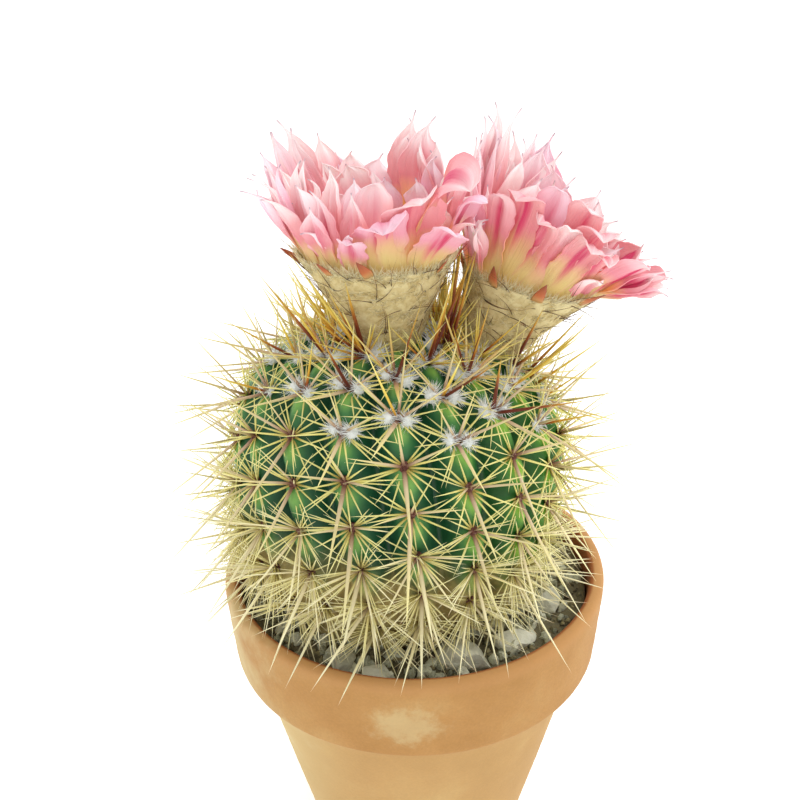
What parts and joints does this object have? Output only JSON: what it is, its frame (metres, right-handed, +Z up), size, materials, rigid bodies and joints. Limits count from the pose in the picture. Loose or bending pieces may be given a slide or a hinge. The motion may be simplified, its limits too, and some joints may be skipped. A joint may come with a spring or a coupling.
{
  "type": "potted round cactus",
  "caption": "Round ribbed cactus with wool, long spines and open pink flowers at its crown, growing in soil in a tapered terracotta pot with a thick rim band.",
  "frame": {"origin": "centre of the pot's foot, on the surface that the pot stands on", "axes": "+Z up along the pot's axis; the side that the picture shows faces -Y, with +X to its right"},
  "size_m": [0.1312, 0.1237, 0.2205],
  "materials": {
    "terracotta": "matte",
    "potting_soil": "matte",
    "cactus_skin": "satin",
    "flower_wool": "matte",
    "petals": "satin",
    "stamens": "matte",
    "pistil": "satin",
    "stones": "matte"
  },
  "bodies": {
    "root": {"pot": "terracotta", "soil": "potting_soil", "cactus_body": "cactus_skin", "left_tube": "flower_wool", "left_petals": "petals", "left_stamens": "stamens", "left_pistil": "pistil", "right_tube": "flower_wool", "right_petals": "petals", "right_stamens": "stamens", "right_pistil": "pistil", "stone_01": "stones", "stone_02": "stones", "stone_03": "stones", "stone_04": "stones", "stone_05": "stones", "stone_06": "stones", "stone_07": "stones", "stone_08": "stones", "stone_09": "stones", "stone_10": "stones", "stone_11": "stones", "stone_12": "stones", "stone_13": "stones"}
  },
  "joints": []
}
